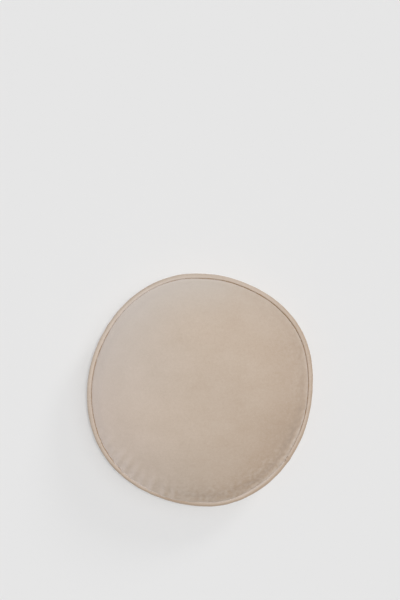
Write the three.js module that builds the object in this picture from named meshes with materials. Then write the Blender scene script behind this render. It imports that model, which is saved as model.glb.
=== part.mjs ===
// Round cushion with a piped seam, lying on its back.
// Millimetres, +Z up. The origin is on the floor, under the middle of the outline's box.

import * as THREE from 'three';

// Driving dimensions
const acrossPiping = 450; // mean width of the cushion over its piping
const pipingDiameter = 8.5; // cord with its velvet cover
const seamHeight = 52; // floor to the middle of the seam
const crownRise = 66; // seam to the top of the crown
const undersideDrop = 64; // seam to the lowest point that the filling would reach without a floor
const edgeRounding = 3.5; // half the layers sewn together at the seam, which round the body's edge
const floorBlend = 3; // rounding where the underside leaves the floor
const pieceGap = 0.3; // clearance between the filled body and the piping

// Section of the filled body inside its rounded edge: (1 - share ^ crownPower) ^ shoulderPower
const crownPower = 2.5; // a higher power is flatter in the middle
const shoulderPower = 0.78; // a lower power stands more upright at the seam

// Fineness of the meshes
const roundSteps = 224;
const crownRings = 12;
const undersideRings = 10;
const pipingSides = 10;

// The rim is no true circle, because velvet gives more on its bias than along its threads.
// Each row is a wave round the rim, with its first bulge at an angle counted from +X.
const rimWaves = [
  { bulges: 2, swell: 3.8, firstDeg: 70.5 },
  { bulges: 3, swell: 0.7, firstDeg: 52.7 },
  { bulges: 4, swell: 2.7, firstDeg: 28.3 },
  { bulges: 5, swell: 0.4, firstDeg: 30 },
  { bulges: 6, swell: 0.6, firstDeg: 40.5 },
];

// The seam lies a little higher and lower on its way round.
const seamWaves = [
  { bulges: 2, swell: 1.4, firstDeg: 118 },
  { bulges: 3, swell: 1.0, firstDeg: 15 },
];

// Puckers, where the panels are eased into the seam: how deep they are on each stretch of the rim.
const puckerStretches = [
  { middleDeg: 64, spreadDeg: 26, depth: 0.4 },
  { middleDeg: 142, spreadDeg: 34, depth: 0.6 },
  { middleDeg: 248, spreadDeg: 36, depth: 1.1 },
  { middleDeg: 318, spreadDeg: 26, depth: 0.6 },
];
const puckerCount = 56;
const puckerReach = 45; // from the seam in, along the panel
const puckerDrift = [
  { bulges: 3, swell: 0.9, firstDeg: 20 },
  { bulges: 7, swell: 0.6, firstDeg: 41 },
];

// Where the filling lies high or low under the upper panel, from the middle of the cushion.
const fillingLumps = [
  { x: -62, y: 78, reach: 120, rise: 1.6 },
  { x: 96, y: 40, reach: 90, rise: 1.0 },
  { x: 18, y: -52, reach: 95, rise: -1.2 },
  { x: -112, y: -64, reach: 85, rise: 1.0 },
  { x: 118, y: -96, reach: 70, rise: -1.8 },
  { x: 52, y: -146, reach: 62, rise: -1.6 },
];

const bodyEdge = acrossPiping / 2 - pipingDiameter - pieceGap;
const seamHold = 0.62; // share of the way out to the rim where the seam's height starts to tell
const puckerCrest = 4 / 27; // highest value of travel * (1 - travel) ^ 2, a third of the way in

// Adds up the waves of a table at an angle round the rim.
function sumOfWaves(rows, angle) {
  return rows.reduce((sum, row) => {
    const first = THREE.MathUtils.degToRad(row.firstDeg);
    return sum + row.swell * Math.cos(row.bulges * (angle - first));
  }, 0);
}

// Height of the filled section over or under the seam, at a share of the way out to its edge.
function sectionHeight(share, rise) {
  const filled = Math.pow(Math.max(0, 1 - Math.pow(share, crownPower)), shoulderPower);
  const inset = Math.min(((1 - share) * bodyEdge) / edgeRounding, 1);
  const rounded = Math.sqrt(1 - (1 - inset) ** 2);
  return (rise - edgeRounding) * filled + edgeRounding * rounded;
}

// Height over the floor of the underside: flat where the filling presses it down, and eased out of it.
function undersideHeight(share) {
  const overFloor = seamHeight - sectionHeight(share, undersideDrop);
  if (overFloor <= -floorBlend) return 0;
  if (overFloor >= floorBlend) return overFloor;
  return (overFloor + floorBlend) ** 2 / (4 * floorBlend);
}

// Rings close up towards the rim, where the section turns fastest.
function ringShare(ring, rings) {
  return Math.pow(Math.sin((ring / rings) * (Math.PI / 2)), 2 / crownPower);
}

// Half section from the middle of the underside, round the seam, to the top of the crown.
function bodySection() {
  const section = [];
  for (let ring = 0; ring < undersideRings; ring += 1) {
    const share = ringShare(ring, undersideRings);
    section.push(new THREE.Vector2(share * bodyEdge, undersideHeight(share)));
  }
  for (let ring = crownRings; ring >= 0; ring -= 1) {
    const share = ringShare(ring, crownRings);
    const height = seamHeight + sectionHeight(share, crownRise);
    section.push(new THREE.Vector2(share * bodyEdge, height));
  }
  return section;
}

// How deep the puckers are at an angle, from the stretches of the rim.
function puckerDepth(angle) {
  return puckerStretches.reduce((sum, row) => {
    const away = angle - THREE.MathUtils.degToRad(row.middleDeg);
    const wrapped = THREE.MathUtils.radToDeg(Math.atan2(Math.sin(away), Math.cos(away)));
    return sum + row.depth * Math.exp(-((wrapped / row.spreadDeg) ** 2));
  }, 0);
}

// Height of the puckers over the plain section: none at the seam, most a third of their way in.
function puckerHeight(angle, fromSeam) {
  const travel = THREE.MathUtils.clamp(fromSeam / puckerReach, 0, 1);
  const fade = (travel * (1 - travel) ** 2) / puckerCrest;
  const ridge = Math.cos(puckerCount * angle + sumOfWaves(puckerDrift, angle));
  return puckerDepth(angle) * fade * ridge;
}

// Height of the lumps in the filling at a place on the upper panel.
function lumpHeight(x, y) {
  return fillingLumps.reduce((sum, row) => {
    const away = Math.hypot(x - row.x, y - row.y) / row.reach;
    return away < 1 ? sum + row.rise * (1 - away ** 2) ** 2 : sum;
  }, 0);
}

// The two velvet panels, sewn together round their edge and filled.
function makeBody(velvet) {
  const geometry = new THREE.LatheGeometry(bodySection(), roundSteps);
  geometry.rotateX(Math.PI / 2);
  const position = geometry.getAttribute('position');
  const normal = geometry.getAttribute('normal');
  const point = new THREE.Vector3();
  const outward = new THREE.Vector3();
  for (let i = 0; i < position.count; i += 1) {
    point.fromBufferAttribute(position, i);
    outward.fromBufferAttribute(normal, i);
    const angle = Math.atan2(point.y, point.x);
    const share = Math.hypot(point.x, point.y) / bodyEdge;
    const edge = bodyEdge + sumOfWaves(rimWaves, angle);
    const upper = point.z > seamHeight;
    point.x *= edge / bodyEdge;
    point.y *= edge / bodyEdge;
    point.addScaledVector(outward, puckerHeight(angle, (1 - share) * bodyEdge));
    point.z += sumOfWaves(seamWaves, angle) * THREE.MathUtils.smoothstep(share, seamHold, 1);
    if (upper) point.z += lumpHeight(point.x, point.y);
    position.setXYZ(i, point.x, point.y, point.z);
  }
  geometry.computeVertexNormals();
  const body = new THREE.Mesh(geometry, velvet);
  body.name = 'cushion_body';
  return body;
}

// The velvet-covered cord that is caught in the seam all the way round.
function makePiping(velvet) {
  const middle = (acrossPiping - pipingDiameter) / 2;
  const geometry = new THREE.TorusGeometry(middle, pipingDiameter / 2, pipingSides, roundSteps);
  const position = geometry.getAttribute('position');
  for (let i = 0; i < position.count; i += 1) {
    const x = position.getX(i);
    const y = position.getY(i);
    const angle = Math.atan2(y, x);
    const reach = Math.hypot(x, y);
    const stretch = (reach + sumOfWaves(rimWaves, angle)) / reach;
    position.setXYZ(i, x * stretch, y * stretch, position.getZ(i) + sumOfWaves(seamWaves, angle));
  }
  geometry.computeVertexNormals();
  const piping = new THREE.Mesh(geometry, velvet);
  piping.name = 'piping';
  piping.position.z = seamHeight;
  return piping;
}

const panelVelvet = new THREE.MeshStandardMaterial({ color: 0xc3b2a1, roughness: 0.92, metalness: 0 });
const pipingVelvet = new THREE.MeshStandardMaterial({ color: 0xbeab98, roughness: 0.9, metalness: 0 });

const cushion = new THREE.Group();
cushion.name = 'round_cushion';
cushion.add(makeBody(panelVelvet), makePiping(pipingVelvet));

const outlineBox = new THREE.Box3().setFromObject(cushion, true);
const outlineMiddle = outlineBox.getCenter(new THREE.Vector3());
cushion.position.set(-outlineMiddle.x, -outlineMiddle.y, 0);

export default cushion;
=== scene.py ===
import math
from collections import namedtuple

import bpy
import numpy as np
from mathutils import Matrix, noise


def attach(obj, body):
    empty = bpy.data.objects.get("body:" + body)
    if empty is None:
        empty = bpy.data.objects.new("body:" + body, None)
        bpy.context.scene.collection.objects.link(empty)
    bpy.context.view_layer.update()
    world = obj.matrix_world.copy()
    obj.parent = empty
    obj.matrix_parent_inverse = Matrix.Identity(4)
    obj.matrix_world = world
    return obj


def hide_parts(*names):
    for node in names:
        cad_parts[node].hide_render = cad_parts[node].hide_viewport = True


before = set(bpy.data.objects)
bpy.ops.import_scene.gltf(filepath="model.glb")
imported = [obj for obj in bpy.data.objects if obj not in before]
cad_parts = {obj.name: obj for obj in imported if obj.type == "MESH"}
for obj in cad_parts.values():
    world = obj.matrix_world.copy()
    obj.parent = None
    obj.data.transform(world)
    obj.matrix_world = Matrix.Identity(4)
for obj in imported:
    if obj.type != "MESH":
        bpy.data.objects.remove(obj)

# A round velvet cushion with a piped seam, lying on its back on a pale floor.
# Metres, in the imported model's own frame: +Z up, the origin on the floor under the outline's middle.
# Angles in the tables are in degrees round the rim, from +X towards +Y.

bl_info = {
    "name": "Round piped cushion",
    "version": (1, 0, 0),
    "blender": (4, 5, 0),
    "location": "View3D > Sidebar > Cushion",
    "description": "Sews, fills and pipes a round velvet cushion and sets up the studio round it",
    "category": "Add Mesh",
}

MM = 0.001
TURN = 2 * math.pi

# The body's two panels, and the way that each bulges from the seam.
UPPER = 1
LOWER = -1

# The rim is no true circle: waves round it, each (bulges, swell in mm, angle of the first bulge).
RIM_WAVES = ((2, 3.8, 70.5), (3, 0.7, 52.7), (4, 2.7, 28.3), (5, 0.4, 30), (6, 0.6, 40.5))

# What the rim gives in here and there besides its waves: (angle, mm further out).
RIM_GIVE = (
    (0, -0.2),
    (22, 0.5),
    (45, -0.3),
    (60, 0.0),
    (75, 0.6),
    (92, -0.6),
    (100, -0.4),
    (108, -0.8),
    (120, -0.6),
    (135, -0.5),
    (150, -1.0),
    (165, -1.0),
    (180, -1.0),
    (195, -0.8),
    (210, -0.6),
    (225, -0.7),
    (240, -0.6),
    (255, -0.6),
    (270, -0.2),
    (279, 0.9),
    (289, 0.3),
    (300, -0.2),
    (315, 0.0),
    (325, 0.0),
    (338, 0.5),
    (350, 0.1),
)

# The seam lies a little higher and lower on its way round.
SEAM_WAVES = ((2, 1.4, 118), (3, 1.0, 15))

# Where the filling lies high or low under the upper panel: (x, y, reach, rise) in mm.
FILLING_LUMPS = (
    (-62, 78, 120, 1.6),
    (96, 40, 90, 1.0),
    (18, -52, 95, -1.2),
    (-112, -64, 85, 1.0),
    (118, -96, 70, -1.8),
    (52, -146, 62, -1.6),
)

# Spare cloth that is eased into the seam: (angle, spread in degrees, share of the rim's length).
EASE_STRETCHES = (
    (142, 30, 0.002),
    (228, 34, 0.012),
    (318, 26, 0.002),
)
EASE_REST = 0.001
EASE_REACH = 34 * MM  # from the seam in, along the panel

# How much is kept of the puckers that the filling makes: (angle, spread in degrees, share).
PUCKER_STRETCHES = ((142, 24, 0.15), (228, 34, 0.5), (300, 30, 0.3))
PUCKER_REST = 0.1

# Gathers that stand out most:
# (angle at the seam and half width in degrees, height and length in mm, degrees it turns on its way in).
GATHERS = (
    (141.5, 1.5, 0.35, 18, 1.0),
    (146.5, 1.6, 0.4, 20, 1.0),
    (204.5, 1.8, 1.2, 36, -2.2),
    (211.0, 2.0, 2.2, 56, -3.0),
    (216.6, 1.4, 1.6, 42, -2.6),
    (221.5, 1.8, 3.2, 66, -3.2),
    (227.1, 1.9, 3.3, 68, -3.2),
    (232.8, 1.8, 2.9, 62, -2.4),
    (238.4, 1.6, 2.3, 48, -1.8),
    (243.8, 1.8, 2.7, 56, -1.4),
    (251.0, 1.6, 2.1, 46, -0.7),
    (256.0, 1.7, 2.1, 48, 0.0),
    (265.0, 1.5, 1.4, 24, 0.0),
    (270.8, 1.4, 1.5, 22, 0.4),
    (278.0, 1.5, 1.1, 22, 0.5),
)
GATHER_RISE = (1, 9)  # mm from the seam where they start and are full
GATHER_FULL = 0.3  # share of their length where they start to fade

# Small uneven dents in the panels near the seam: (angle, spread in degrees, depth in mm).
DENTS = ((15, 25, 0.35), (250, 40, 0.4), (318, 36, 1.0))
DENTS_REST = 0.05

# Where the pile beside the seam is crushed this way and that:
# (angle, spread in degrees, unevenness of its tone).
CRUSHED = ((15, 28, 0.3), (262, 24, 0.5), (310, 36, 1.1))
CRUSHED_REST = 0.12
CRUSHED_REACH = (22 * MM, 78 * MM)  # from the seam, where this starts to fade and ends

# Height that the layers of the seam add beside it: (angle, spread in degrees, height in mm).
SEAM_RIDGE = ((90, 60, 0.5), (325, 42, 2.2))
SEAM_RIDGE_REST = 0.6

# Open width of the crease between the panel and the piping: (angle, spread in degrees, width in mm).
CREASE_WIDTH = (
    (44, 40, 0.3),
    (80, 12, 0.12),
    (116, 38, -0.3),
    (150, 20, -0.08),
    (190, 14, -0.08),
    (216, 14, 0.3),
    (276, 50, -0.3),
    (338, 12, 0.22),
    (346, 20, 0.24),
)
CREASE_WIDTH_REST = 0.22
CREASE_LEAST = 0.05  # mm, however the stretches add up

# How far the filled panels lean out over the piping: (angle, spread in degrees, reach in mm).
PIPING_LEAN = ((124, 24, 1.0), (232, 14, 0.8), (255, 10, 3.0), (290, 48, 1.6))

# How far the piping's cover is drawn in to the seam past its round: (angle, reach in mm).
PIPING_SPREAD = (
    (0, 0.45),
    (15, 1.05),
    (30, 0.65),
    (60, 0.45),
    (75, 0.4),
    (92, 1.3),
    (120, 1.25),
    (135, 0.75),
    (150, 1.05),
    (165, 0.95),
    (180, 0.8),
    (195, 1.45),
    (210, 0.7),
    (225, 0.1),
    (240, -0.2),
    (256, 0.6),
    (270, 0.9),
    (285, 0.6),
    (300, 2.1),
    (310, 1.2),
    (319, 0.1),
    (325, 0.6),
    (332, 0.8),
    (340, 0.3),
    (347, 0.0),
)

# How far the crease counts as closed, so that less of its painted shade shows: (angle, mm).
CREASE_CLOSED = (
    (0, 0.1),
    (15, 0.5),
    (45, 0.0),
    (75, 0.0),
    (100, 0.5),
    (135, 0.9),
    (150, 0.4),
    (165, 0.2),
    (190, 0.6),
    (210, 0.2),
    (225, 0.1),
    (240, 1.6),
    (252, 3.0),
    (312, 3.0),
    (320, 1.2),
    (328, 0.1),
    (345, 0.0),
)

# Painted sheen, highlights and shade on the way out to the seam, past what the nap's painted shading
# gives:
# (angle, lighter, and darker below 0, greyer with sheen, lighter again with a highlight on the lip
# beside the seam).
SHOULDER_SHEEN_AND_SHADE = (
    (0, 0.24, 0.06, 0.5),
    (15, 0.25, 0.08, 0.6),
    (30, 0.12, 0.10, 0.42),
    (60, 0.04, 0.15, 0.15),
    (90, 0.02, 0.37, 0.52),
    (105, 0.07, 0.40, 0.58),
    (120, 0.21, 0.37, 0.27),
    (150, 0.28, 0.20, 0.26),
    (180, 0.35, 0.07, 0.42),
    (195, 0.34, 0.0, 0.34),
    (210, 0.31, 0.0, 0.42),
    (225, 0.30, 0.0, 0.46),
    (240, 0.30, 0.0, 0.48),
    (255, 0.1, 0.0, 0.08),
    (270, -0.15, 0.0, 0.25),
    (285, -0.06, 0.0, 0.42),
    (300, 0.10, 0.0, 0.36),
    (315, 0.05, 0.04, 0.7),
    (330, 0.0, 0.08, 0.72),
    (345, 0.06, 0.07, 0.92),
)

# From the seam, where each of these starts to fade and ends.
LIGHTER_REACH = (8 * MM, 75 * MM)
GREYER_REACH = (8 * MM, 125 * MM)
LIP_REACH = (4 * MM, 12 * MM)

# How much further in the lip's painted highlight reaches: (angle, spread in degrees, share of its
# reach).
LIP_WIDER = ((325, 16, 0.4),)

# Painted sheen, highlights and shade on the piping: (angle, lighter, and darker below 0, greyer with
# sheen, a painted highlight on its inner side with painted shade on its outer side, greyer sheen again
# on its inner side).
PIPING_SHEEN_AND_SHADE = (
    (0, -0.05, 0.0, 0.32, 0.0),
    (30, -0.12, 0.0, 0.4, 0.0),
    (60, 0.04, 0.05, 0.55, 0.0),
    (75, 0.04, 0.10, 0.55, 0.0),
    (90, 0.0, 0.15, 0.7, 0.1),
    (105, -0.05, 0.15, 0.9, 0.2),
    (120, 0.0, 0.16, 1.2, 0.25),
    (135, 0.04, 0.1, 0.95, 0.25),
    (150, 0.06, 0.05, 0.7, 0.2),
    (165, 0.10, 0.0, 0.5, 0.2),
    (180, 0.11, 0.0, 0.35, 0.25),
    (195, 0.02, 0.0, 0.35, 0.2),
    (210, 0.0, 0.0, 0.5, 0.15),
    (225, -0.14, 0.0, 0.6, 0.15),
    (242, -0.1, 0.0, 0.55, 0.15),
    (256, -0.57, 0.0, 0.08, 0.1),
    (271, -0.3, 0.0, 0.45, 0.1),
    (286, -0.24, 0.0, 0.72, 0.2),
    (300, -0.40, 0.0, 0.9, 0.35),
    (318, -0.27, 0.0, 0.3, 0.25),
    (330, -0.24, 0.0, 0.45, 0.2),
    (345, -0.02, 0.0, 0.4, 0.05),
)

# Soft spots where the velvet's tone is lighter or deeper: (x, y, reach in mm, change of its tone).
TONE_SPOTS = (
    (135, 0, 75, 0.13),
    (105, 85, 80, 0.08),
    (150, 45, 45, 0.07),
    (60, 130, 85, -0.05),
    (60, -25, 60, -0.04),
    (150, -85, 45, -0.06),
    (-62, 132, 85, -0.09),
    (5, 176, 35, -0.10),
    (-66, -30, 50, 0.07),
    (-145, 0, 75, 0.12),
    (-20, 10, 60, -0.02),
    (-130, -90, 70, 0.16),
    (-150, -110, 40, -0.04),
    (-72, -125, 65, 0.08),
    (-48, -86, 45, 0.06),
)

# Where a greyer painted sheen lies on the pile as well: (x, y, reach in mm, greyer).
SHEEN_SPOTS = ((-120, 70, 145, 0.13),)

# Where the piping's ends are joined: the cover's folded edge stands out there, a little aslant.
JOIN_DEGREES = 322
JOIN_RADIUS = 220 * MM  # from the cushion's middle
JOIN_WIDTH = 4.5 * MM
JOIN_HEIGHT = 0.35 * MM
JOIN_SLANT = 1.2 * MM

# Pits where one end of the cover is tucked under the other: (angle, share of their depth and of their
# painted shadow).
# Their side counts round the section, from -1 under its inner side, past 0 outside, to 1 over it.
JOIN_PITS = ((322.3, 1.0), (320.3, 0.6))
JOIN_PIT_DEPTH = 1.4 * MM
JOIN_PIT_WIDTH = 2.2 * MM
JOIN_PIT_SHADE = 3.0
JOIN_PIT_SIDE = 0.82
JOIN_PIT_SPREAD = 0.19

# Uneven ripples round the rim: (height, seed, fewest and most bulges round the rim, number of waves).
CREASE_RIPPLE = (0.25, 21, 30, 110, 12)  # share of the crease's width
RIDGE_RIPPLE = (0.12, 22, 24, 70, 12)  # share of the seam ridge's height
RUFFLE_RIPPLE = (0.07, 23, 90, 150, 12)  # mm, on the panel beside the seam
CORD_RIPPLE = (0.10, 31, 20, 60, 12)  # mm, on the cord
WRINKLE_RIPPLE = (0.05, 32, 90, 260, 20)  # mm, on the piping's cover
WRINKLE_TURN = 1.3  # radians that their waves shift from side 0 to side 1

# Tones of the velvet, from its pile pressed flat towards one to its nap leaning away. Along them lie
# random marks and painted sheen and shade.
CRUSHED_TONE = -1.0
DEEP_TONE = -0.5
PLAIN_TONE = 0.0
LIT_TONE = 1.0

# How the pile lies on each piece: azimuth that its nap leans to, how much painted sheen and shade slopes
# get by it, how far out the crease's painted shade reaches, and the deepest tone.
BODY_NAP = (math.radians(170), 1.0, 2.6 * MM, CRUSHED_TONE)
PIPING_NAP = (math.radians(130), 0.6, 4.5 * MM, DEEP_TONE)
# The crease's painted shade is full out to this length from the seam.
CREASE_FULL = 0.5 * MM  # how far out the crease's colour is full

# Marks in the pile, from large to small:
# (size in metres, detail and roughness of their noise, how much longer they are along the nap, tone).
PILE_MARKS = {
    "patches": (0.055, 3.0, 0.55, 1.0, 0.34),
    "brushed": (0.012, 3.0, 0.6, 3.2, 0.18),
    "ruffled": (0.0055, 2.0, 0.6, 1.0, 0.3),
    "tufted": (0.0026, 1.0, 0.6, 1.0, 0.36),
    "pile": (0.0011, 2.0, 0.6, 1.0, 0.10),
}
CRUSHED_MARKS = (0.008, 1.0, 0.5)
NOISE_MIDDLE = 0.5

# What the marks add to the pile's roughness, and how far they are raised.
PILE_ROUGHNESS = 0.9
ROUGH_MARKS = (("brushed", 0.12), ("pile", 0.08))
RAISED_MARKS = (("pile", 0.25), ("brushed", 0.5))

# Rings of the panels, by their mm from the seam, while they have all the rim's columns.
# Further in they have half as many, and the middle is a square grid.
RIM_COLUMNS = 448
RIM_RINGS = {
    UPPER: (1.2, 2.5, 4, 6, 8.5, 11.5, 15, 19, 23, 27, 31, 35, 40, 45, 50, 55),
    LOWER: (1.2, 2.5, 4, 6, 8.5, 11.5, 15, 19, 23, 27, 31),
}
MIDDLE_COLUMNS = 224
MIDDLE_SPACING = {UPPER: 6.5 * MM, LOWER: 8 * MM}
GRID_REACH = 110 * MM

OUTLINE_STEPS = 7200  # places round the rim where the outline's box is measured
CORD_MIDDLE = 0.001  # share of the piping's half width that counts as its very middle


class CushionSizes(bpy.types.PropertyGroup):
    """Sizes of the cushion, as sewn and filled."""

    across: bpy.props.FloatProperty(
        name="Across the piping",
        description="Mean width of the cushion over its piping",
        default=0.45,
        min=0.1,
        unit="LENGTH",
        subtype="DISTANCE",
    )
    piping: bpy.props.FloatProperty(
        name="Piping",
        description="Diameter of the cord with its velvet cover",
        default=0.0085,
        min=0.002,
        unit="LENGTH",
        subtype="DISTANCE",
    )
    seam_height: bpy.props.FloatProperty(
        name="Seam height",
        description="From the floor to the middle of the seam",
        default=0.052,
        unit="LENGTH",
        subtype="DISTANCE",
    )
    crown_rise: bpy.props.FloatProperty(
        name="Crown rise",
        description="From the seam to the top of the crown",
        default=0.066,
        unit="LENGTH",
        subtype="DISTANCE",
    )
    underside_drop: bpy.props.FloatProperty(
        name="Underside drop",
        description="From the seam to where the filling would reach without a floor",
        default=0.064,
        unit="LENGTH",
        subtype="DISTANCE",
    )
    edge_rounding: bpy.props.FloatProperty(
        name="Edge rounding",
        description="Half the layers that are sewn together at the seam",
        default=0.0035,
        unit="LENGTH",
        subtype="DISTANCE",
    )
    floor_blend: bpy.props.FloatProperty(
        name="Floor blend",
        description="Rounding where the underside leaves the floor",
        default=0.003,
        unit="LENGTH",
        subtype="DISTANCE",
    )
    crown_power: bpy.props.FloatProperty(
        name="Crown power",
        description="A higher power makes the crown flatter in the middle",
        default=2.5,
        min=1.0,
    )
    shoulder_power: bpy.props.FloatProperty(
        name="Shoulder power",
        description="A lower power makes the crown stand more upright at the seam",
        default=0.78,
        min=0.3,
        max=1.0,
    )
    pressure: bpy.props.FloatProperty(
        name="Filling pressure",
        description="How hard the filling presses on the panels",
        default=4.0,
        min=0.0,
    )
    fill: bpy.props.FloatProperty(
        name="Fill",
        description="How full the cushion is, from slack to tight",
        default=0.7,
        min=0.0,
        max=1.0,
        subtype="FACTOR",
    )


class CushionColours(bpy.types.PropertyGroup):
    """Colours of the velvet, with its painted sheen and shade, and of the studio."""

    pile: bpy.props.FloatVectorProperty(
        name="Velvet",
        description="The velvet seen straight on",
        default=(0.555, 0.456, 0.370),
        min=0.0,
        max=1.0,
        size=3,
        subtype="COLOR",
    )
    # Painted sheen: the lit end of the tones, where the nap's painted sheen and the painted highlights
    # lead, as do lighter random marks.
    pile_lit: bpy.props.FloatVectorProperty(
        name="Velvet, nap away",
        description="The velvet where its nap leans away and looks lighter and greyer",
        default=(0.745, 0.632, 0.556),
        min=0.0,
        max=1.0,
        size=3,
        subtype="COLOR",
    )
    # Painted shade: where the nap's painted shade and the painted shade beside the seam lead, as do
    # deeper random marks.
    pile_deep: bpy.props.FloatVectorProperty(
        name="Velvet, nap towards",
        description="The velvet where one looks into its nap and it looks darker and browner",
        default=(0.470, 0.357, 0.268),
        min=0.0,
        max=1.0,
        size=3,
        subtype="COLOR",
    )
    # Reached by crushed pile and, on the panels, by the nap's painted shade.
    pile_crushed: bpy.props.FloatVectorProperty(
        name="Velvet, crushed",
        description="The velvet where its pile is pressed flat towards one and looks darkest",
        default=(0.400, 0.300, 0.225),
        min=0.0,
        max=1.0,
        size=3,
        subtype="COLOR",
    )
    # Painted sheen: the greyer colour that the mesh's grey measure mixes in.
    pile_sheen: bpy.props.FloatVectorProperty(
        name="Velvet, from the side",
        description="The velvet where it slopes and its pile is seen from the side, which is greyer",
        default=(0.54, 0.527, 0.508),
        min=0.0,
        max=1.0,
        size=3,
        subtype="COLOR",
    )
    # Painted shade: this colour is mixed in down in the crease beside the piping.
    crease: bpy.props.FloatVectorProperty(
        name="Velvet in the crease",
        description="The velvet down in the crease beside the piping, where no light gets in",
        default=(0.46, 0.25, 0.055),
        min=0.0,
        max=1.0,
        size=3,
        subtype="COLOR",
    )
    floor: bpy.props.FloatVectorProperty(
        name="Floor",
        description="The pale floor",
        default=(0.8, 0.8, 0.8),
        min=0.0,
        max=1.0,
        size=3,
        subtype="COLOR",
    )


class StudioSizes(bpy.types.PropertyGroup):
    """The camera's place and lens, the light and the floor."""

    lens: bpy.props.FloatProperty(
        name="Lens",
        description="Focal length of the camera, in millimetres",
        default=60.0,
        min=10.0,
        unit="CAMERA",
    )
    camera_place: bpy.props.FloatVectorProperty(
        name="Camera",
        description="Where the camera stands, looking straight down",
        default=(0.0007, 0.1749, 2.002),
        size=3,
        unit="LENGTH",
        subtype="TRANSLATION",
    )
    light: bpy.props.FloatProperty(
        name="Light",
        description="Light that falls on the floor, in watts for each square metre",
        default=3.104,
        min=0.0,
    )
    floor_width: bpy.props.FloatProperty(
        name="Floor width",
        description="Side of the floor",
        default=12.0,
        unit="LENGTH",
        subtype="DISTANCE",
    )


def wave_sum(rows, angle):
    """The waves of a table added up at each angle, in metres."""
    return sum(
        swell * MM * np.cos(bulges * (angle - math.radians(first)))
        for bulges, swell, first in rows
    )


def smooth_step(value, low, high):
    """0 under low, 1 over high, and eased between."""
    part = np.clip((value - low) / (high - low), 0, 1)
    return part * part * (3 - 2 * part)


def span_share(along, start, full, past, end):
    """0 before start, 1 from full to past, 0 again after end, and eased between."""
    return smooth_step(along, start, full) * (1 - smooth_step(along, past, end))


def turn_past(angle, middle):
    """How far each angle is past a middle, the shorter way round, all in radians."""
    return np.angle(np.exp(1j * (angle - middle)))


def stretch_sum(rows, angle):
    """The stretches of a table added up at each angle, in the table's own unit."""
    total = np.zeros_like(angle)
    for middle, spread, amount in rows:
        away = np.degrees(turn_past(angle, math.radians(middle)))
        total += amount * np.exp(-((away / spread) ** 2))
    return total


def knots_at(rows, angle, column=1):
    """A column of a table of (angle, values) at each angle, eased from row to row round the rim."""
    degrees = np.degrees(angle) % 360
    at = np.array([row[0] for row in rows] + [rows[0][0] + 360])
    value = np.array([row[column] for row in rows] + [rows[0][column]])
    index = np.searchsorted(at, degrees, "right") - 1
    part = smooth_step(degrees, at[index], at[index + 1])
    return value[index] * (1 - part) + value[index + 1] * part


def ripple(angle, height, seed, fewest, most, count=12, turn=0):
    """Uneven ripples: a number of waves, each with between fewest and most bulges round the rim."""
    rng = np.random.default_rng(seed)
    bulges = rng.integers(fewest, most + 1, count)
    first = rng.uniform(0, TURN, count)
    waves = [np.cos(number * angle + start + turn) for number, start in zip(bulges, first)]
    return height * (sum(waves) * math.sqrt(2 / count))


def soft_spots(rows, x, y):
    """Round spots of a table, each fading out at its reach, added up in the table's own unit."""
    total = np.zeros_like(x)
    for middle_x, middle_y, reach, amount in rows:
        away = np.hypot(x - middle_x * MM, y - middle_y * MM) / (reach * MM)
        total += amount * np.clip(1 - away**2, 0, 1) ** 2
    return total


def gather_height(angle, along):
    """Height in mm of the gathers at each angle and length in mm from the seam."""
    total = np.zeros_like(angle)
    for at, half_width, height, length, turns in GATHERS:
        middle = math.radians(at) + math.radians(turns) * along / length
        away = np.degrees(turn_past(angle, middle)) / half_width
        rise = span_share(along, *GATHER_RISE, GATHER_FULL * length, length)
        total += height * np.exp(-(away**2)) * rise
    return total


def waved_reach(sizes, angle):
    """From the middle of the cushion out to the middle of the piping, with the rim's waves alone."""
    return (sizes.across - sizes.piping) / 2 + wave_sum(RIM_WAVES, angle)


def outline_middle(sizes):
    """Middle of the waved outline's box, which the frame's origin lies under."""
    angle = np.linspace(0, TURN, OUTLINE_STEPS, endpoint=False)
    reach = waved_reach(sizes, angle)
    path = np.stack([reach * np.cos(angle), reach * np.sin(angle)], -1)
    return (path.max(0) + path.min(0)) / 2


def piping_path(sizes, angle):
    """Middle of the piping at each angle, before the outline is centred: x, y, z."""
    reach = waved_reach(sizes, angle) + knots_at(RIM_GIVE, angle) * MM
    height = sizes.seam_height + wave_sum(SEAM_WAVES, angle)
    return np.stack([reach * np.cos(angle), reach * np.sin(angle), height], -1)


def piping_width_in(sizes, angle):
    """Half width of the piping on its inner side, where its cover is drawn in to the seam."""
    return sizes.piping / 2 + knots_at(PIPING_SPREAD, angle) * MM


# A panel's section from its middle out: height from the seam, length along it and tilt from level.
Section = namedtuple("Section", "height length tilt")


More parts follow.
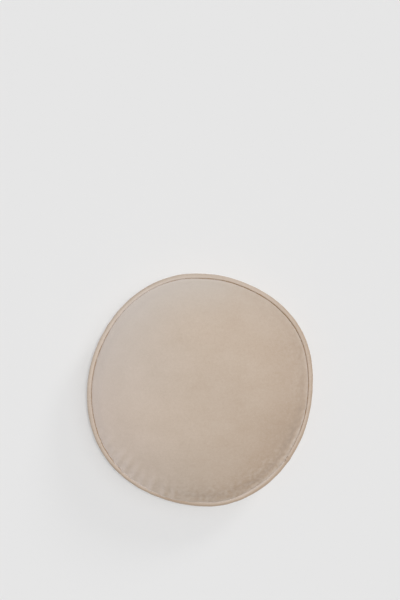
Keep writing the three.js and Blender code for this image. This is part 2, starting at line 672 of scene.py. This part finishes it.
class BodyShape:
    """The filled section and its measures, from the sizes."""

    PIECE_GAP = 0.3 * MM
    SECTION_STEPS = 4000
    # share of the way out to the rim where the seam's height starts to tell
    SEAM_HOLD = 0.62
    # the panel beside the seam: mm along it, and mm further in and higher than the plain section there
    LIP_ALONG = (0, 1.2, 2.5, 4, 6, 8.5, 11.5, 15, 19, 27, 35)
    LIP_IN = (0.9, 0.3, -0.25, -0.3, 0.1, 0.4, 0.6, 0.6, 0.5, 0.25, 0)
    LIP_UP = (0, 0, 0, 0, 0, -0.3, -0.5, -0.6, -0.5, -0.2, 0)
    # mm from the seam where the panel starts and ends to come back out from the piping's drawn-in side
    DRAWN_IN_FADE = (12, 30)
    # how much it sinks for each mm that it is drawn in
    SINK = 0.4
    # mm from the seam where each form starts, is full, starts to fade and ends
    SINK_SPAN = (1.2, 5, 12, 42)
    RIDGE_SPAN = (1.2, 5, 5, 20)
    DENTS_SPAN = (2, 6, 18, 48)
    RUFFLE_SPAN = (1.2, 4, 5, 14)
    LEAN_SPAN = (1.5, 4, 6, 22)
    # sizes of the dents, and how deep each size is
    DENT_SIZES = ((9 * MM, 1.0), (5 * MM, 0.6))

    def __init__(self, sizes):
        self.sizes = sizes
        self.edge = sizes.across / 2 - sizes.piping - self.PIECE_GAP
        self.share = 1 - np.linspace(1, 0, self.SECTION_STEPS + 1) ** 2
        self.sections = {}
        reach = self.share * self.edge
        for side, rise in ((UPPER, sizes.crown_rise), (LOWER, sizes.underside_drop)):
            height = self.section_height(self.share, rise)
            step = np.hypot(np.diff(reach), np.diff(height))
            length = np.concatenate([[0], np.cumsum(step)])
            tilt = np.arctan2(-np.gradient(height), np.gradient(reach))
            self.sections[side] = Section(height, length, tilt)

    def section_height(self, share, rise):
        """Height of the filled section over or under the seam."""
        sizes = self.sizes
        rounding = sizes.edge_rounding
        filled = np.clip(1 - share**sizes.crown_power, 0, 1) ** sizes.shoulder_power
        inset = np.clip((1 - share) * self.edge / rounding, 0, 1)
        return (rise - rounding) * filled + rounding * np.sqrt(1 - (1 - inset) ** 2)

    def from_seam(self, side, share):
        """Length along the panel from the seam in to a share."""
        length = self.sections[side].length
        return length[-1] - np.interp(share, self.share, length)

    def share_at(self, side, from_seam):
        """Share of the way out at a length from the seam."""
        length = self.sections[side].length
        return np.interp(length[-1] - from_seam, length, self.share)

    def tilt_at(self, side, share):
        """How far the panel is tilted from level, at each point."""
        upper = np.interp(share, self.share, self.sections[UPPER].tilt)
        lower = np.interp(share, self.share, self.sections[LOWER].tilt)
        return np.where(side == UPPER, upper, lower)

    def place(self, side, share, angle):
        """Points of the plain panels."""
        sizes = self.sizes
        reach = share * (self.edge + wave_sum(RIM_WAVES, angle) + knots_at(RIM_GIVE, angle) * MM)
        crown = self.section_height(share, sizes.crown_rise)
        under = -self.section_height(share, sizes.underside_drop)
        height = sizes.seam_height + np.where(side == UPPER, crown, under)
        height += wave_sum(SEAM_WAVES, angle) * smooth_step(share, self.SEAM_HOLD, 1)
        return np.stack([reach * np.cos(angle), reach * np.sin(angle), height], -1)

    def dressed_place(self, side, share, angle, from_seam):
        """Points of the finished panels, but for the puckers that the filling makes.

        Beside the piping they stand as a lip, lie over the seam's layers or lean out on the cord."""
        points = self.place(side, share, angle)
        along = from_seam / MM
        width = np.clip(stretch_sum(CREASE_WIDTH, angle) + CREASE_WIDTH_REST, CREASE_LEAST, None)
        width *= 1 + ripple(angle, *CREASE_RIPPLE)
        drawn_in = knots_at(PIPING_SPREAD, angle) + width - self.PIECE_GAP / MM
        inward = np.interp(along, self.LIP_ALONG, self.LIP_IN)
        inward += drawn_in * (1 - smooth_step(along, *self.DRAWN_IN_FADE))
        upward = np.interp(along, self.LIP_ALONG, self.LIP_UP)
        upward -= self.SINK * drawn_in * span_share(along, *self.SINK_SPAN)
        ridge = stretch_sum(SEAM_RIDGE, angle) + SEAM_RIDGE_REST
        ridge *= 1 + ripple(angle, *RIDGE_RIPPLE)
        upward += ridge * span_share(along, *self.RIDGE_SPAN)
        raised = gather_height(angle, along) + self.dent_height(points, angle, along)
        tilt = self.tilt_at(side, share)
        inward -= raised * np.sin(tilt)
        upward += raised * np.cos(tilt)
        upward += ripple(angle, *RUFFLE_RIPPLE) * span_share(along, *self.RUFFLE_SPAN)
        inward -= stretch_sum(PIPING_LEAN, angle) * span_share(along, *self.LEAN_SPAN)
        outward = np.stack([np.cos(angle), np.sin(angle)], -1)
        points[:, :2] -= outward * (inward * MM)[:, None]
        points[:, 2] += side * upward * MM
        return points

    def dent_height(self, points, angle, along):
        """Height in mm of the small uneven dents at each point."""
        uneven = sum(
            depth * np.array([noise.noise(point / size) for point in points])
            for size, depth in self.DENT_SIZES
        )
        uneven *= span_share(along, *self.DENTS_SPAN)
        return uneven * (stretch_sum(DENTS, angle) + DENTS_REST)

    def eased_place(self, side, share, angle, reach_in):
        """Points of the panels as cut: longer round the rim, and as long in to the middle."""
        ease = stretch_sum(EASE_STRETCHES, angle) + EASE_REST
        points = np.empty((len(share), 3))
        for which, section in self.sections.items():
            here = side == which
            fade = smooth_step(reach_in - (section.length[-1] - section.length), 0, reach_in)
            spare = np.interp(share[here], self.share, fade)
            reach = share[here] * self.edge * (1 + ease[here] * spare)
            points[here, 0] = reach * np.cos(angle[here])
            points[here, 1] = reach * np.sin(angle[here])
            points[here, 2] = which * np.interp(share[here], self.share, section.height)
        return points


def lay_on_piping(points, sizes):
    """Moves points up or down out of the piping, before the outline is centred."""
    angle = np.arctan2(points[:, 1], points[:, 0])
    middle = piping_path(sizes, angle)
    width_in = piping_width_in(sizes, angle)
    half = sizes.piping / 2
    out = np.hypot(points[:, 0], points[:, 1]) - np.hypot(middle[:, 0], middle[:, 1])
    up = points[:, 2] - middle[:, 2]
    away = np.hypot(out / np.where(out < 0, width_in, half), up / half)
    inside = (away < 1) & (away > CORD_MIDDLE) & (out > -width_in)
    grow = np.where(inside, 1 / np.maximum(away, CORD_MIDDLE), 1)
    points[:, 2] = middle[:, 2] + up * grow


def lay_on_floor(points, blend):
    """Flattens what would be under the floor, and eases the panel out of the flat."""
    up = points[:, 2]
    eased = np.clip(up + blend, 0, None) ** 2 / (4 * blend)
    points[:, 2] = np.where(up < blend, eased, up)


def panel_grid(shape):
    """Both panels as one closed mesh: side, share and angle of each point, and the faces.

    Rings run in from the shared seam, halve their columns once, and close on a square grid."""
    side, share, angle, faces = [], [], [], []

    def add_ring(which, at_share, columns):
        start = len(side)
        side.extend([which] * columns)
        share.extend([at_share] * columns)
        angle.extend(np.arange(columns) * TURN / columns)
        return [start + i for i in range(columns)]

    def join(which, outer, inner):
        outer_count, inner_count = len(outer), len(inner)
        every = outer_count // inner_count
        for i in range(inner_count):
            along = [outer[(every * i + step) % outer_count] for step in range(every + 1)]
            loop = (*along, inner[(i + 1) % inner_count], inner[i])
            faces.append(loop if which == UPPER else loop[::-1])

    seam = add_ring(UPPER, 1.0, RIM_COLUMNS)
    for which in (UPPER, LOWER):
        ring = seam
        for from_seam in RIM_RINGS[which]:
            inner = add_ring(which, shape.share_at(which, from_seam * MM), RIM_COLUMNS)
            join(which, ring, inner)
            ring = inner
        start = RIM_RINGS[which][-1] * MM
        stop = shape.from_seam(which, GRID_REACH / shape.edge)
        steps = round((stop - start) / MIDDLE_SPACING[which])
        for step in range(1, steps + 1):
            at = start + (stop - start) * step / steps
            inner = add_ring(which, shape.share_at(which, at), MIDDLE_COLUMNS)
            join(which, ring, inner)
            ring = inner
        close_with_grid(which, ring, side, share, angle, faces)
    return np.array(side), np.array(share), np.array(angle), faces


def close_with_grid(which, ring, side, share, angle, faces):
    """Fills the middle of a panel with a square grid that is bent to the last ring."""
    rim_share = share[ring[0]]
    cells = len(ring) // 4
    line = math.sqrt(2) * np.sin(np.linspace(-1, 1, cells + 1) * math.pi / 4)
    number = np.zeros((cells + 1, cells + 1), int)
    for row in range(cells + 1):
        for column in range(cells + 1):
            u, v = line[column], line[row]
            x = u * math.sqrt(1 - v * v / 2)
            y = v * math.sqrt(1 - u * u / 2)
            turn = math.atan2(y, x) % TURN
            if row in (0, cells) or column in (0, cells):
                number[row, column] = ring[round(turn / TURN * len(ring)) % len(ring)]
                continue
            number[row, column] = len(side)
            side.append(which)
            share.append(math.hypot(x, y) * rim_share)
            angle.append(turn)
    for row in range(cells):
        for column in range(cells):
            loop = (
                number[row, column],
                number[row, column + 1],
                number[row + 1, column + 1],
                number[row + 1, column],
            )
            faces.append(loop if which == UPPER else loop[::-1])


def tube_faces(columns, sides):
    """Faces of a tube that closes on itself, with a number of columns and of points round each."""
    faces = []
    for i in range(columns):
        j = (i + 1) % columns
        for k in range(sides):
            m = (k + 1) % sides
            faces.append((i * sides + k, j * sides + k, j * sides + m, i * sides + m))
    return faces


def new_piece(name, points, faces):
    """A smooth mesh object from points and faces."""
    mesh = bpy.data.meshes.new(name)
    mesh.from_pydata([tuple(p) for p in points], [], [tuple(int(i) for i in f) for f in faces])
    mesh.polygons.foreach_set("use_smooth", [True] * len(mesh.polygons))
    mesh.validate()
    mesh.update()
    piece = bpy.data.objects.new(name, mesh)
    bpy.context.scene.collection.objects.link(piece)
    return piece


def points_of(mesh):
    """The mesh's points as an array."""
    flat = np.empty(len(mesh.vertices) * 3, np.float32)
    mesh.vertices.foreach_get("co", flat)
    return flat.reshape(-1, 3).astype(float)


def set_points(mesh, points):
    """Moves the mesh's points."""
    mesh.vertices.foreach_set("co", points.astype(np.float32).ravel())
    mesh.update()


def record_measure(mesh, name, values):
    """Keeps a measure of each point with the mesh, for its material."""
    layer = mesh.attributes.new(name, "FLOAT", "POINT")
    layer.data.foreach_set("value", np.asarray(values, np.float32).ravel())


def press_filling(body, cut, pinned, pressure, frames):
    """Lets the filling press the panels out with Blender's cloth, and gives their points after it.

    The body starts from its own shape, and its cloth has the lengths of the cut shape."""
    body.shape_key_add(name="start")
    key = body.shape_key_add(name="as cut")
    key.data.foreach_set("co", cut.astype(np.float32).ravel())
    key.value = 0
    group = body.vertex_groups.new(name="seam")
    group.add([int(i) for i in np.flatnonzero(pinned)], 1.0, "REPLACE")
    cloth = body.modifiers.new("filling", "CLOTH")
    settings = cloth.settings
    settings.quality = 10
    settings.mass = 0.3
    settings.tension_stiffness = 15
    settings.compression_stiffness = 15
    settings.shear_stiffness = 5
    settings.bending_stiffness = 0.05
    settings.tension_damping = 5
    settings.compression_damping = 5
    settings.air_damping = 1
    settings.vertex_group_mass = "seam"
    settings.rest_shape_key = key
    settings.use_pressure = True
    settings.uniform_pressure_force = pressure
    settings.effector_weights.gravity = 0
    cloth.collision_settings.use_collision = False
    cloth.point_cache.frame_start = 1
    cloth.point_cache.frame_end = frames
    scene = bpy.context.scene
    for frame_number in range(1, frames + 1):
        scene.frame_set(frame_number)
    depsgraph = bpy.context.evaluated_depsgraph_get()
    pressed = points_of(body.evaluated_get(depsgraph).data)
    body.modifiers.remove(cloth)
    body.shape_key_clear()
    scene.frame_set(1)
    return pressed


class CUSHION_OT_body(bpy.types.Operator):
    """Sews the two panels together, fills them and lays the cushion on its back"""

    bl_idname = "cushion.body"
    bl_label = "Filled body"

    # at first the panels are less full, so that the pressure has somewhere to go, and a little uneven
    START_FULL = 0.96
    START_UNEVEN = 0.05 * MM
    START_SEED = 7
    FRAMES = 20
    # metres from the seam where the puckers start, are full, start to fade and end
    PUCKER_SPAN = (1 * MM, 9 * MM, 18 * MM, 48 * MM)
    # stretches of the way out from the middle that share one section
    SECTION_BINS = 80

    def execute(self, context):
        sizes = context.scene.cushion_sizes
        shape = BodyShape(sizes)
        side, share, angle, faces = panel_grid(shape)
        from_seam = np.where(
            side == UPPER, shape.from_seam(UPPER, share), shape.from_seam(LOWER, share)
        )
        start = shape.place(side, share, angle)
        slack = start.copy()
        slack[:, 2] = sizes.seam_height + (start[:, 2] - sizes.seam_height) * self.START_FULL
        rng = np.random.default_rng(self.START_SEED)
        slack[:, 2] += rng.normal(0, self.START_UNEVEN, len(side)) * (share < 1)
        body = new_piece("cushion_body_velvet", slack, faces)
        settled = shape.dressed_place(side, share, angle, from_seam)
        cut = shape.eased_place(side, share, angle, EASE_REACH)
        pressed = press_filling(body, cut, share >= 1, sizes.pressure, self.FRAMES)
        puckers = self.hold_section(start, pressed, side, share, angle)
        kept = stretch_sum(PUCKER_STRETCHES, angle) + PUCKER_REST
        kept *= span_share(from_seam, *self.PUCKER_SPAN)
        settled += puckers * kept[:, None]
        lumps = soft_spots(FILLING_LUMPS, settled[:, 0], settled[:, 1]) * MM
        settled[:, 2] += np.where(side == UPPER, lumps, 0)
        lay_on_piping(settled, sizes)
        lay_on_floor(settled, sizes.floor_blend)
        settled[:, :2] -= outline_middle(sizes)
        set_points(body.data, settled)
        self.record_pile_and_shading(body.data, from_seam, angle, settled[:, 0], settled[:, 1])
        finer = body.modifiers.new("finer", "SUBSURF")
        finer.levels = finer.render_levels = 1
        body.data.materials.append(velvet("panel velvet", context.scene.cushion_colours, *BODY_NAP))
        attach(body, "root")
        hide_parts("cushion_body")
        return {"FINISHED"}

    def hold_section(self, start, pressed, side, share, angle):
        """Keeps the puckers that the cloth has made, and takes back what moves the whole section."""
        moved = pressed - start
        outward = np.stack([np.cos(angle), np.sin(angle), np.zeros_like(angle)], -1)
        radial = (moved * outward).sum(1)
        upward = np.array([0, 0, 1.0])
        kept = moved.copy()
        bins = np.linspace(0, 1, self.SECTION_BINS + 1)
        middles = np.concatenate([[0], (bins[1:] + bins[:-1]) / 2, [1]])
        for which in (UPPER, LOWER):
            here = side == which
            index = np.digitize(share[here], bins)
            count = np.bincount(index, minlength=len(middles))
            filled = np.flatnonzero(count)
            for values, direction in ((radial[here], outward[here]), (moved[here, 2], upward)):
                mean = np.bincount(index, values, minlength=len(middles)) / np.maximum(count, 1)
                common = np.interp(share[here], middles[filled], mean[filled])
                kept[here] -= common[:, None] * direction
        return kept

    @staticmethod
    def record_pile_and_shading(mesh, from_seam, angle, x, y):
        """Keeps with the mesh how its pile looks at each point: its crushing and spots of tone, and
        where painted shade, highlights and sheen lie.
        """
        # Where the crease's painted shade lies: length from the seam, pushed in where the crease counts
        # as closed.
        record_measure(mesh, "from_seam", from_seam + knots_at(CREASE_CLOSED, angle) * MM)
        # Painted highlights and shade on the shoulder, a painted highlight on the lip beside the seam,
        # and the spots of tone.
        along_lip = from_seam / (1 + stretch_sum(LIP_WIDER, angle))
        lighter = knots_at(SHOULDER_SHEEN_AND_SHADE, angle) * (1 - smooth_step(from_seam, *LIGHTER_REACH))
        lighter += knots_at(SHOULDER_SHEEN_AND_SHADE, angle, 3) * (1 - smooth_step(along_lip, *LIP_REACH))
        lighter += soft_spots(TONE_SPOTS, x, y)
        record_measure(mesh, "lighter", lighter)
        # Painted sheen: greyer towards the seam and in the sheen spots.
        greyer = knots_at(SHOULDER_SHEEN_AND_SHADE, angle, 2) * (1 - smooth_step(from_seam, *GREYER_REACH))
        greyer += soft_spots(SHEEN_SPOTS, x, y)
        record_measure(mesh, "greyer", greyer)
        crushed = stretch_sum(CRUSHED, angle) + CRUSHED_REST
        crushed *= 1 - smooth_step(from_seam, *CRUSHED_REACH)
        record_measure(mesh, "crushed", crushed)


class CUSHION_OT_piping(bpy.types.Operator):
    """Covers a cord in velvet and runs it round the seam"""

    bl_idname = "cushion.piping"
    bl_label = "Piping"

    COLUMNS = 1800
    ROUND_STEPS = 17
    # half turns that the cover goes each way from its outermost place, to where its edges start
    ROUND_TURN = 0.92
    # a higher power makes the inner side squarer
    INNER_POWER = 3.2
    # the cover's edges, sewn flat between the panels: (past the inner side, height) in mm
    FLANGE = ((-0.15, 1.1), (1.6, 0.35), (1.6, -0.35), (-0.15, -1.1))

    def section(self, sizes, width_in):
        """Points round the covered cord in each column: round outside, drawn in to the seam inside."""
        half = sizes.piping / 2
        round_angle = np.linspace(-self.ROUND_TURN, self.ROUND_TURN, self.ROUND_STEPS) * math.pi
        across, up = np.cos(round_angle), np.sin(round_angle)
        drawn = across < 0
        power = 2 / self.INNER_POWER
        out = np.where(drawn, -width_in * abs(across) ** power, half * across)
        height = half * np.where(drawn, np.sign(up) * abs(up) ** power, up)
        flange_past, flange_height = np.array(self.FLANGE).T * MM
        out = np.hstack([out, -width_in - flange_past])
        height = np.tile(np.append(height, flange_height), (len(out), 1))
        return out, height

    def cover_swell(self, angle, side):
        """How far the cover stands out: uneven cord, soft wrinkles across it, and the join."""
        swell = ripple(angle, *CORD_RIPPLE) + ripple(angle, *WRINKLE_RIPPLE, turn=WRINKLE_TURN * side)
        slanted = self.past_join(angle, JOIN_DEGREES) + side * JOIN_SLANT
        fold = JOIN_HEIGHT * np.exp(-((slanted / JOIN_WIDTH) ** 2))
        return swell * MM + fold - JOIN_PIT_DEPTH * self.join_pits(angle, side)

    def join_pits(self, angle, side):
        """Share of a pit's depth where one end of the cover is tucked under the other, inside."""
        across = (side - JOIN_PIT_SIDE) / JOIN_PIT_SPREAD
        return sum(
            depth * np.exp(-((self.past_join(angle, degrees) / JOIN_PIT_WIDTH) ** 2) - across**2)
            for degrees, depth in JOIN_PITS
        )

    @staticmethod
    def past_join(angle, degrees):
        """Length along the piping past a place at its join."""
        return turn_past(angle, math.radians(degrees)) * JOIN_RADIUS

    def length_from_seam(self, out, height):
        """Length round each section from the deep end of the cover's edges, the shorter way."""
        step_out = np.diff(out, axis=1, append=out[:, :1])
        step_up = np.diff(height, axis=1, append=height[:, :1])
        step = np.hypot(step_out, step_up)
        # steps from that end to where the round of the cover starts
        lead = len(self.FLANGE) - 1
        length = np.roll(np.cumsum(np.roll(step, lead, axis=1), axis=1), -lead, axis=1)
        return np.minimum(length, step.sum(1)[:, None] - length)

    def execute(self, context):
        sizes = context.scene.cushion_sizes
        angle = np.arange(self.COLUMNS) * TURN / self.COLUMNS
        middle = piping_path(sizes, angle)
        middle[:, :2] -= outline_middle(sizes)
        along = np.roll(middle, -1, 0) - np.roll(middle, 1, 0)
        along /= np.linalg.norm(along, axis=1)[:, None]
        up = np.array([0.0, 0.0, 1.0]) - along * along[:, 2:3]
        up /= np.linalg.norm(up, axis=1)[:, None]
        outward = np.cross(along, up)
        # from here on one row for each column of the piping, and one column for each point round it
        angle = angle[:, None]
        side = np.linspace(-1, 1, self.ROUND_STEPS)
        rounded = slice(0, self.ROUND_STEPS)
        width_in = piping_width_in(sizes, angle)
        out, height = self.section(sizes, width_in)
        share_out = out / np.where(out < 0, width_in, sizes.piping / 2)
        grow = 1 + self.cover_swell(angle, side) / (sizes.piping / 2)
        out[:, rounded] *= grow
        height[:, rounded] *= grow
        points = (
            middle[:, None, :]
            + out[:, :, None] * outward[:, None, :]
            + height[:, :, None] * up[:, None, :]
        )
        cord = new_piece("piping_velvet", points.reshape(-1, 3), tube_faces(*out.shape))
        # Where the crease's painted shade lies on the piping: length round the section from the seam's
        # end.
        from_seam = self.length_from_seam(out, height) + knots_at(CREASE_CLOSED, angle) * MM
        record_measure(cord.data, "from_seam", from_seam)
        # Painted highlights, sheen and shade on the piping: lighter inside, deeper outside, greyer sheen
        # inside.
        lighter, greyer, inner_light_outer_shade, sheen_inside = (
            knots_at(PIPING_SHEEN_AND_SHADE, angle, column) for column in (1, 2, 3, 4)
        )
        lighter = lighter - inner_light_outer_shade * share_out
        # Painted shadow in the pits at the join.
        lighter[:, rounded] -= JOIN_PIT_SHADE * self.join_pits(angle, side)
        record_measure(cord.data, "lighter", lighter)
        record_measure(cord.data, "greyer", greyer + sheen_inside * np.clip(-share_out, 0, 1))
        cord.data.materials.append(velvet("piping velvet", context.scene.cushion_colours, *PIPING_NAP))
        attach(cord, "root")
        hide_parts("piping")
        return {"FINISHED"}


class Recipe:
    """A material that is built up node by node."""

    def __init__(self, name):
        self.material = bpy.data.materials.new(name)
        self.material.use_nodes = True
        self.nodes = self.material.node_tree.nodes
        self.links = self.material.node_tree.links
        self.shader = self.nodes["Principled BSDF"]

    def add(self, kind, values=None, **settings):
        """A node with its settings, and each input given as a number or as an output to link."""
        node = self.nodes.new(kind)
        for key, value in settings.items():
            setattr(node, key, value)
        for key, value in (values or {}).items():
            if isinstance(key, str):
                socket = next(one for one in node.inputs if one.enabled and one.name == key)
            else:
                socket = node.inputs[key]
            self.fill(socket, value)
        return node

    def fill(self, socket, value):
        """Gives an input a number or a colour, or an output to link."""
        if isinstance(value, bpy.types.NodeSocket):
            self.links.new(value, socket)
        else:
            socket.default_value = value

    def finish(self, values):
        """Fills the shader's own inputs, and gives the finished material."""
        for name, value in values.items():
            self.fill(self.shader.inputs[name], value)
        return self.material

    def calculate(self, operation, first, second, third=0.0):
        """An operation on outputs or numbers."""
        values = {0: first, 1: second, 2: third}
        return self.add("ShaderNodeMath", values, operation=operation).outputs[0]

    def sum(self, *parts):
        """Adds outputs up, each as (output, factor, middle): factor * (output - middle)."""
        total = None
        for output, factor, middle in parts:
            scaled = self.calculate("MULTIPLY_ADD", output, factor, -factor * middle)
            total = scaled if total is None else self.calculate("ADD", total, scaled)
        return total

    def along(self, output, direction):
        """How much of a vector lies along a direction."""
        values = {0: output, 1: direction}
        node = self.add("ShaderNodeVectorMath", values, operation="DOT_PRODUCT")
        return node.outputs["Value"]

    def measure(self, name):
        """A measure that the mesh keeps for each point."""
        return self.add("ShaderNodeAttribute", attribute_name=name).outputs["Fac"]

    def mix(self, share, output, colour):
        """An output's colour with a share of another colour over it."""
        values = {"Factor": share, "A": output, "B": (*colour, 1)}
        return self.add("ShaderNodeMix", values, data_type="RGBA").outputs["Result"]

    def fade(self, output, full, none):
        """1 where the output is under full, 0 where it is over none, and eased between."""
        values = {"Value": output, "From Min": full, "From Max": none, "To Min": 1.0, "To Max": 0.0}
        return self.add("ShaderNodeMapRange", values, interpolation_type="SMOOTHSTEP").outputs[0]

    def noise(self, place, size, detail, roughness, stretch=1.0, turn=0.0):
        """Noise with features of a size in metres, longer by stretch along an angle."""
        if stretch != 1.0:
            values = {"Vector": place, "Rotation": (0, 0, -turn), "Scale": (1 / stretch, 1, 1)}
            place = self.add("ShaderNodeMapping", values).outputs[0]
        values = {"Vector": place, "Scale": 1 / size, "Detail": detail, "Roughness": roughness}
        return self.add("ShaderNodeTexNoise", values).outputs[0]

    def ramp(self, output, lowest, highest, colours):
        """Colours along an output, each as (value, colour), from its lowest to its highest value."""
        share = self.sum((output, 1 / (highest - lowest), lowest))
        node = self.add("ShaderNodeValToRGB", {"Fac": share})
        stops = node.color_ramp.elements
        first, *between, last = colours
        stops[0].position, stops[0].color = 0.0, (*first[1], 1)
        stops[1].position, stops[1].color = 1.0, (*last[1], 1)
        for value, colour in between:
            stops.new((value - lowest) / (highest - lowest)).color = (*colour, 1)
        return node.outputs["Color"]


def velvet(name, colours, nap_azimuth, nap_shading_gain, crease_reach, deepest):
    """Short-pile velvet with soft brushed marks; its nap's sheen and shade are painted in: lighter on
    slopes that face the nap's azimuth, deeper on those facing away.
    """
    recipe = Recipe(name)
    place = recipe.add("ShaderNodeTexCoord").outputs["Object"]
    normal = recipe.add("ShaderNodeNewGeometry").outputs["Normal"]
    # Painted sheen and shade of the nap: how far each slope faces the nap's azimuth.
    lean = recipe.along(normal, (math.cos(nap_azimuth), math.sin(nap_azimuth), 0.0))
    marks = {}
    marks_in_tone = []
    for kind, (size, detail, roughness, stretch, amount) in PILE_MARKS.items():
        marks[kind] = recipe.noise(place, size, detail, roughness, stretch, nap_azimuth)
        marks_in_tone.append((marks[kind], amount, NOISE_MIDDLE))
    crushing = recipe.calculate("SUBTRACT", recipe.noise(place, *CRUSHED_MARKS), NOISE_MIDDLE)
    crushing = recipe.calculate("MULTIPLY", crushing, recipe.measure("crushed"))
    # Tone: the nap's painted sheen and shade, the painted highlights and shade from the measures with
    # the tone spots, the random marks and the crushing.
    tone = recipe.sum(
        (lean, nap_shading_gain, 0.0),
        (recipe.measure("lighter"), 1.0, 0.0),
        *marks_in_tone,
        (crushing, 1.0, 0.0),
    )
    tone = recipe.calculate("MAXIMUM", tone, deepest)
    shades = (
        (CRUSHED_TONE, colours.pile_crushed),
        (DEEP_TONE, colours.pile_deep),
        (PLAIN_TONE, colours.pile),
        (LIT_TONE, colours.pile_lit),
    )
    colour = recipe.ramp(tone, CRUSHED_TONE, LIT_TONE, shades)
    # Painted sheen: greyer where the mesh's measure says.
    colour = recipe.mix(recipe.measure("greyer"), colour, colours.pile_sheen)
    # Painted shade: the crease's colour mixed in near the seam.
    crease = recipe.fade(recipe.measure("from_seam"), CREASE_FULL, crease_reach)
    colour = recipe.mix(crease, colour, colours.crease)
    rough = recipe.sum(*((marks[kind], amount, NOISE_MIDDLE) for kind, amount in ROUGH_MARKS))
    rough = recipe.add("ShaderNodeMath", {0: rough, 1: PILE_ROUGHNESS}, use_clamp=True).outputs[0]
    height = recipe.sum(*((marks[kind], amount, NOISE_MIDDLE) for kind, amount in RAISED_MARKS))
    relief = {"Strength": 0.5, "Distance": 0.4 * MM, "Height": height}
    bump = recipe.add("ShaderNodeBump", relief).outputs[0]
    return recipe.finish(
        {
            "Base Color": colour,
            "Roughness": rough,
            "Normal": bump,
            "Sheen Weight": 1.0,
            "Sheen Roughness": 0.4,
            "Sheen Tint": (1.0, 0.96, 0.93, 1),
            "Specular IOR Level": 0.15,
        }
    )


class CUSHION_OT_studio(bpy.types.Operator):
    """Lays the pale floor and sets up the camera and the soft lights"""

    bl_idname = "cushion.studio"
    bl_label = "Studio"

    # name, degrees off straight down, azimuth it comes from, angular width, share of the floor's light
    LIGHTS = (
        ("key_light", 8.5, 50, 15, 0.625),
        ("side_light", 25, 30, 40, 0.113),
        ("low_light", 68, 50, 14, 0.064),
    )
    # share of the floor's light that comes from the room, from all sides
    ROOM_SHARE = 0.198

    def execute(self, context):
        scene = context.scene
        studio = scene.cushion_studio
        half = studio.floor_width / 2
        corners = [(-half, -half, 0), (half, -half, 0), (half, half, 0), (-half, half, 0)]
        floor = new_piece("floor", corners, [(0, 1, 2, 3)])
        shade = (*scene.cushion_colours.floor, 1)
        paint = {"Base Color": shade, "Roughness": 1.0, "Specular IOR Level": 0.0}
        floor.data.materials.append(Recipe("floor paint").finish(paint))
        for name, tilt, azimuth, width, share in self.LIGHTS:
            lamp = bpy.data.lights.new(name, "SUN")
            lamp.energy = studio.light * share / math.cos(math.radians(tilt))
            lamp.angle = math.radians(width)
            holder = bpy.data.objects.new(name, lamp)
            holder.rotation_euler = (0, math.radians(tilt), math.radians(azimuth))
            scene.collection.objects.link(holder)
        scene.world = bpy.data.worlds.new("studio")
        scene.world.use_nodes = True
        background = scene.world.node_tree.nodes["Background"]
        background.inputs["Color"].default_value = (1, 1, 1, 1)
        background.inputs["Strength"].default_value = studio.light * self.ROOM_SHARE / math.pi
        camera = bpy.data.objects.new("camera", bpy.data.cameras.new("camera"))
        camera.data.lens = studio.lens
        camera.data.sensor_width = 36
        camera.location = studio.camera_place
        scene.collection.objects.link(camera)
        scene.camera = camera
        scene.view_settings.view_transform = "Standard"
        return {"FINISHED"}


class CUSHION_PT_panel(bpy.types.Panel):
    """Lists the steps of making the cushion, with its sizes and colours"""

    bl_idname = "CUSHION_PT_panel"
    bl_label = "Round piped cushion"
    bl_space_type = "VIEW_3D"
    bl_region_type = "UI"
    bl_category = "Cushion"

    def draw(self, context):
        layout = self.layout
        for step in STEPS:
            layout.operator(step.bl_idname)
        for name, group in GROUPS.items():
            box = layout.box()
            for size_or_colour in group.__annotations__:
                box.prop(getattr(context.scene, name), size_or_colour)


STEPS = (CUSHION_OT_studio, CUSHION_OT_body, CUSHION_OT_piping)
GROUPS = {
    "cushion_sizes": CushionSizes,
    "cushion_colours": CushionColours,
    "cushion_studio": StudioSizes,
}


def register():
    for group in GROUPS.values():
        bpy.utils.register_class(group)
    for name, group in GROUPS.items():
        setattr(bpy.types.Scene, name, bpy.props.PointerProperty(type=group))
    for step in (*STEPS, CUSHION_PT_panel):
        bpy.utils.register_class(step)


def unregister():
    for step in (CUSHION_PT_panel, *reversed(STEPS)):
        bpy.utils.unregister_class(step)
    for name, group in GROUPS.items():
        delattr(bpy.types.Scene, name)
        bpy.utils.unregister_class(group)


def main():
    """Makes the studio and the cushion."""
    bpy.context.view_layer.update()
    register()
    bpy.ops.cushion.studio()
    bpy.ops.cushion.body()
    bpy.ops.cushion.piping()


if __name__ == "__main__":
    main()
